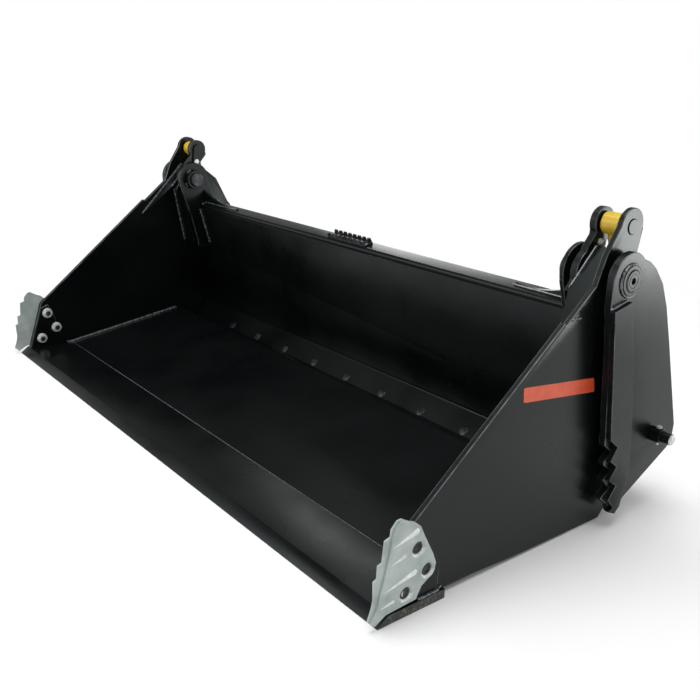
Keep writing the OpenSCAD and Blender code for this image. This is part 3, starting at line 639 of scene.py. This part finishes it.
def lower_lip(face):
    """A sloping face in the lower half of a countersunk hole, which takes the painted highlight."""
    lip_reach, lip_top, lip_foot, flat = 18.5 * MM, -3 * MM, 912.2 * MM, 0.97
    middle = face.calc_center_median()
    for y, z in CUTTER_BOLTS:
        off = middle - place(middle.x / MM, y, z)
        if off.length < lip_reach and off.z < lip_top and middle.x > lip_foot:
            return abs(face.normal.x) < flat
    return False


def side_cutter(side, sign):
    """A cast side cutter: toothed front flange, and a thicker body with countersunk holes."""
    flange = [
        (45, 205), (35, 204), (23, 190), (22, 177), (9, 173), (6, 132), (-4, 129), (-4, 104),
        (-12, 100), (-10, 62), (-13, 46), (-21, 23), (-8, 10), (17, 24), (60, 27), (60, 120),
    ]
    body = [
        (24, 178), (30, 193), (45, 205), (64, 194), (77, 189), (90, 178), (101, 156), (126, 111),
        (135, 89), (132, 73), (117, 61), (102, 52), (95, 39), (90, 28), (17, 24), (-8, 10),
        (-19, 21), (-4, 43), (2, 73), (9, 98), (15, 127), (20, 153),
    ]
    countersink = [
        (908.3, 16.6), (908.3, 12.2), (912.0, 12.2), (913.4, 13.0), (915.4, 15.4),
        (916.3, 17.0), (916.2, 17.8), (915.0, 18.2), (908.3, 16.6),
    ]
    flange_foot, flange_top, body_foot, body_top = 908, 911.8, 908.1, 916
    bm = bmesh.new()
    slab(bm, flange, flange_foot, flange_top, soft=1.2)
    slab(bm, body, body_foot, body_top, soft=2.2, holes=CUTTER_BOLTS, hole_radius=15.6)
    for y, z in CUTTER_BOLTS:
        turned(bm, countersink, y, z)
    bm.normal_update()
    # The lower lips of the holes take the casting's painted highlight
    for face in bm.faces:
        face.material_index = 1 if lower_lip(face) else 0
    mirrored_piece(
        f"side_cutter_{side}_cast", bm, sign, "front_jaw", [CASTING, CASTING_HIGHLIGHT],
        [f"side_cutter_{side}"],
    )


def ridges_painted_bright(side, sign):
    """The raised ridges of a side cutter, coloured bright as a painted highlight."""
    foot_x = 915.4
    bm = bmesh.new()
    for front, back, top_x, width in (
        ((22, 155), (82, 172), 919.9, 15), ((20, 121), (55, 131), 919.6, 10),
        ((5, 71), (83, 89), 919.9, 14), ((-2, 41), (34, 47), 919.5, 8),
    ):
        ridge(bm, front, back, foot_x, top_x, width)
    mirrored_piece(
        f"side_cutter_{side}_ridges", bm, sign, "front_jaw", [CASTING_HIGHLIGHT]
    )


for side, sign in SIDES:
    side_cutter(side, sign)
    ridges_painted_bright(side, sign)


def cutter_fasteners():
    """Countersunk bolts in the castings, with washers and nuts inside the bucket."""
    bolt = [
        (871.6, 0), (871.6, 6.8), (872.8, 8), (908.4, 8), (909.4, 12), (911.6, 12),
        (912.2, 11.4), (912.2, 8), (910.4, 6.6), (910.2, 0),
    ]
    washer = [(881.4, 8), (881.4, 16), (882, 16.6), (884, 16.6), (884, 8), (881.4, 8)]
    nut_seat_x = 881.6
    bolts, nuts = bmesh.new(), bmesh.new()
    for _, sign in SIDES:
        for y, z in CUTTER_BOLTS:
            turned(bolts, bolt, y, z, sign)
            turned(nuts, washer, y, z, sign)
            hexagon(
                nuts, (nut_seat_x * sign, y, z), (-sign, 0, 0), radius=14.8, height=8.6, rim=1.4
            )
    for name, bm, material, node in (
        ("cutter_bolts_turned", bolts, PIN_STEEL, "cutter_bolts"),
        ("cutter_nuts_hexagon", nuts, ZINC, "cutter_nuts"),
    ):
        bmesh.ops.recalc_face_normals(bm, faces=bm.faces)
        finish_piece(name, bm, "front_jaw", [material], [node])


def flag_fasteners():
    """The bolt through each flag, with its hexagon head and nut."""
    shank = [(813.8, 0), (813.8, 5.2), (814.6, 6), (848, 6), (849, 5), (849, 0)]
    head_seat_x, nut_seat_x = 817, 839
    bm = bmesh.new()
    for _, sign in SIDES:
        turned(bm, shank, *FLAG_BOLT, sign)
        hexagon(
            bm, (head_seat_x * sign, *FLAG_BOLT), (-sign, 0, 0), radius=9.6, height=3.0, rim=0.7
        )
        hexagon(bm, (nut_seat_x * sign, *FLAG_BOLT), (sign, 0, 0), radius=10, height=6, rim=0.9)
    bmesh.ops.recalc_face_normals(bm, faces=bm.faces)
    finish_piece("flag_bolts_hexagon", bm, "front_jaw", [ZINC], ["flag_bolts"])


def blade_bolt_heads():
    """Plough bolts through the rear edge, their flat heads slightly domed. The edge runs from tip
    to top as (y, z)."""
    tip, top = Vector((607, 0)), Vector((697, 102))
    along = (top - tip).normalized()
    out = Vector((-along.y, along.x))
    height, pitch, each_side = 61, 161.5, 4
    seat = tip + along * (height / along.y)
    # (how far out of the blade, radius)
    profile = [
        (1.3, 0), (1.1, 6), (0.2, 11.5), (-0.6, 12.8), (-6, 8), (-36, 8), (-37, 7), (-37, 0),
    ]
    bm = bmesh.new()
    for i in range(-each_side, each_side + 1):
        x = i * pitch
        corners = []
        for reach, radius in profile:
            spot = seat + out * reach
            corners.append(bm.verts.new(place(x + radius, spot.x, spot.y)))
        edges = [bm.edges.new(pair) for pair in zip(corners, corners[1:])]
        bmesh.ops.spin(
            bm, geom=corners + edges, cent=place(x, seat.x, seat.y), axis=(0, out.x, out.y),
            angle=math.tau, steps=40, use_merge=True,
        )
        bmesh.ops.remove_doubles(bm, verts=bm.verts, dist=SAME_POINT)
    bmesh.ops.recalc_face_normals(bm, faces=bm.faces)
    finish_piece(
        "rear_edge_bolts_domed", bm, "rear_frame", [PIN_STEEL],
        ["rear_edge_bolts"],
    )


def orange_band():
    """A plain band of orange film on the right side plate, with round corners."""
    outline = [(349, 378), (353, 347), (580, 322), (572, 354)]
    foot_x, top_x, corner_radius = 901.9, 902.35, 4
    bm = bmesh.new()
    slab(bm, outline, foot_x, top_x)
    corners = [e for e in bm.edges if abs(e.verts[0].co.x - e.verts[1].co.x) > 0.1 * MM]
    bmesh.ops.bevel(
        bm, geom=corners, offset=corner_radius * MM, offset_type="OFFSET", affect="EDGES",
        segments=4, profile=0.5, material=-1,
    )
    bmesh.ops.recalc_face_normals(bm, faces=bm.faces)
    finish_piece("orange_band", bm, "front_jaw", [VINYL])


cutter_fasteners()
flag_fasteners()
blade_bolt_heads()
orange_band()

# Each seam is the bead's radius and its path. An x of 888.5 or 902.5 is just off the inner or
# outer face of a side plate, 802 to 803 off an inner plate, and 932.5 off an outer plate
welds("jaw_welds", "front_jaw", (
    # Floor and cutting edge to the side plates, and the seam between them
    (4.0, [(888.5, 40, 20.5), (888.5, 166, 21), (888.5, 566, 87)]),
    (1.3, [(-886, 166, 19.6), (886, 166, 19.6)]),
    (3.6, [(910, 99, 21), (910, 148, 21), (906, 156, 21), (903.5, 164, 21)]),
    (2.5, [(904, 151.5, 24), (904, 152.5, 79)]),
    # Ear cover to the inner ear and to the side plate
    (3.0, [(840.5, 537, 534), (840.5, 612, 613)]),
    (3.5, [(888.5, 446, 439), (888.5, 604, 605)]),
    # Baffle to the side plate
    (3.5, [(888.5, 571, 520), (888.5, 609, 333)]),
    # A short bead on the face of the side plate
    (3.5, [(902.5, 473, 491), (902.5, 500, 491)]),
    # Inner corner plate to the side plate
    (2.5, [(888.5, 127, 52), (888.5, 109, 119), (888.5, 91, 160), (888.5, 69, 151)]),
))

welds("frame_welds", "rear_frame", (
    # Moldboard to the inner plates
    (4.0, [(802, 626, 456), (802, 664, 331)]),
    # Tube ends to the inner plates, and the feet of the gussets along the tube
    (3.0, [(802, 634, 471.5), (802, 679, 484.5)]),
    (3.0, [(803, 653, 477), (606, 653, 477)]),
    # Around the outer and inner collars of the hinge pins
    (3.2, arc(933, *HINGE, 32.5, 0, 360)),
    (3.0, arc(802.5, *HINGE, 34, 20, 50)),
    (3.0, arc(802.5, *HINGE, 34, 110, 140)),
    (3.0, arc(802.5, *HINGE, 34, 200, 230)),
    (3.0, arc(802.5, *HINGE, 34, 290, 320)),
    # Grip bar to the outer plate, along its top and its rear edge
    (3.5, [(932.5, 550, 506.5), (932.5, 604, 519.5)]),
    (2.4, [
        (932.5, 606, 518), (932.5, 630, 426), (932.5, 673, 240), (932.5, 691, 120),
        (932.5, 673, 48),
    ]),
))


# Studio

def studio_floor():
    """A pale floor that takes the shadow and ends softly, out where the surround is as white."""
    half_width, fade_from, fade_to = 6, 1.3, 2.9
    bm = bmesh.new()
    bmesh.ops.create_grid(bm, x_segments=1, y_segments=1, size=half_width)
    mesh = bpy.data.meshes.new("floor")
    bm.to_mesh(mesh)
    bm.free()
    floor = bpy.data.objects.new("floor", mesh)
    bpy.context.scene.collection.objects.link(floor)
    material, tree, shader, where = new_material("pale_floor")
    shader.inputs["Base Color"].default_value = linear("#f7f7f7")
    shader.inputs["Roughness"].default_value = 0.9
    shader.inputs["Specular IOR Level"].default_value = 0.1
    reach = add(tree, "VectorMath", links={0: where}, operation="LENGTH")
    ending = add(
        tree, "MapRange", {"From Min": fade_from, "From Max": fade_to},
        {"Value": reach.outputs["Value"]}, interpolation_type="SMOOTHSTEP",
    )
    clear = add(tree, "BsdfTransparent")
    whole = add(
        tree, "MixShader",
        links={0: ending.outputs["Result"], 1: shader.outputs["BSDF"], 2: clear.outputs["BSDF"]},
    )
    tree.links.new(whole.outputs["Shader"], tree.nodes["Material Output"].inputs["Surface"])
    mesh.materials.append(material)


def studio_surround():
    """White all round up to a little above the horizon, and a dim ceiling over it."""
    world = bpy.data.worlds.new("studio_surround")
    bpy.context.scene.world = world
    world.use_nodes = True
    sky = world.node_tree
    sky.nodes.clear()
    path = add(sky, "LightPath").outputs
    seen_or_mirrored = add(
        sky, "Math", links={0: path["Is Camera Ray"], 1: path["Is Glossy Ray"]},
        operation="MAXIMUM",
    )
    seen = add(
        sky, "Math", links={0: seen_or_mirrored.outputs[0], 1: path["Is Transmission Ray"]},
        operation="MAXIMUM",
    )
    towards = add(sky, "TexCoord").outputs["Generated"]
    height = add(sky, "SeparateXYZ", links={"Vector": towards}).outputs["Z"]
    backdrop = add(
        sky, "MapRange", {"From Min": 0.22, "From Max": 0.55, "To Min": 1.0, "To Max": 0.12},
        {"Value": height}, interpolation_type="SMOOTHSTEP",
    )
    soft = add(sky, "Background", {"Color": grey(1), "Strength": 0.55})
    white = add(sky, "Background", {"Color": grey(1)}, {"Strength": backdrop.outputs["Result"]})
    both = add(
        sky, "MixShader", links={0: seen.outputs[0], 1: soft.outputs[0], 2: white.outputs[0]}
    )
    add(sky, "OutputWorld", links={"Surface": both.outputs[0]})


def softbox(name, where, towards, size, power):
    """A square lamp that faces a point of the object and stays out of the picture."""
    data = bpy.data.lights.new(name, "AREA")
    data.shape = "SQUARE"
    data.size = size
    data.energy = power
    lamp = bpy.data.objects.new(name, data)
    bpy.context.scene.collection.objects.link(lamp)
    lamp.location = where
    lamp.rotation_mode = "QUATERNION"
    lamp.rotation_quaternion = (Vector(towards) - Vector(where)).to_track_quat("-Z", "Y")
    lamp.visible_camera = False


studio_floor()
studio_surround()
softbox("overhead_softbox", (0.4, -0.3, 3.6), towards=(0, 0, 0.2), size=3.0, power=95)
softbox("front_softbox", (-2.2, -3.2, 2.2), towards=(0, 0, 0.2), size=1.8, power=30)
softbox("back_softbox", (-2.2, 2.2, 1.9), towards=(0, 0, 0.1), size=1.2, power=25)
softbox("ear_softbox", (2.6, 2.9, 0.3), towards=(0.9, 0.15, 0.65), size=0.8, power=20)
set_camera()
bpy.context.scene.view_settings.view_transform = "Standard"
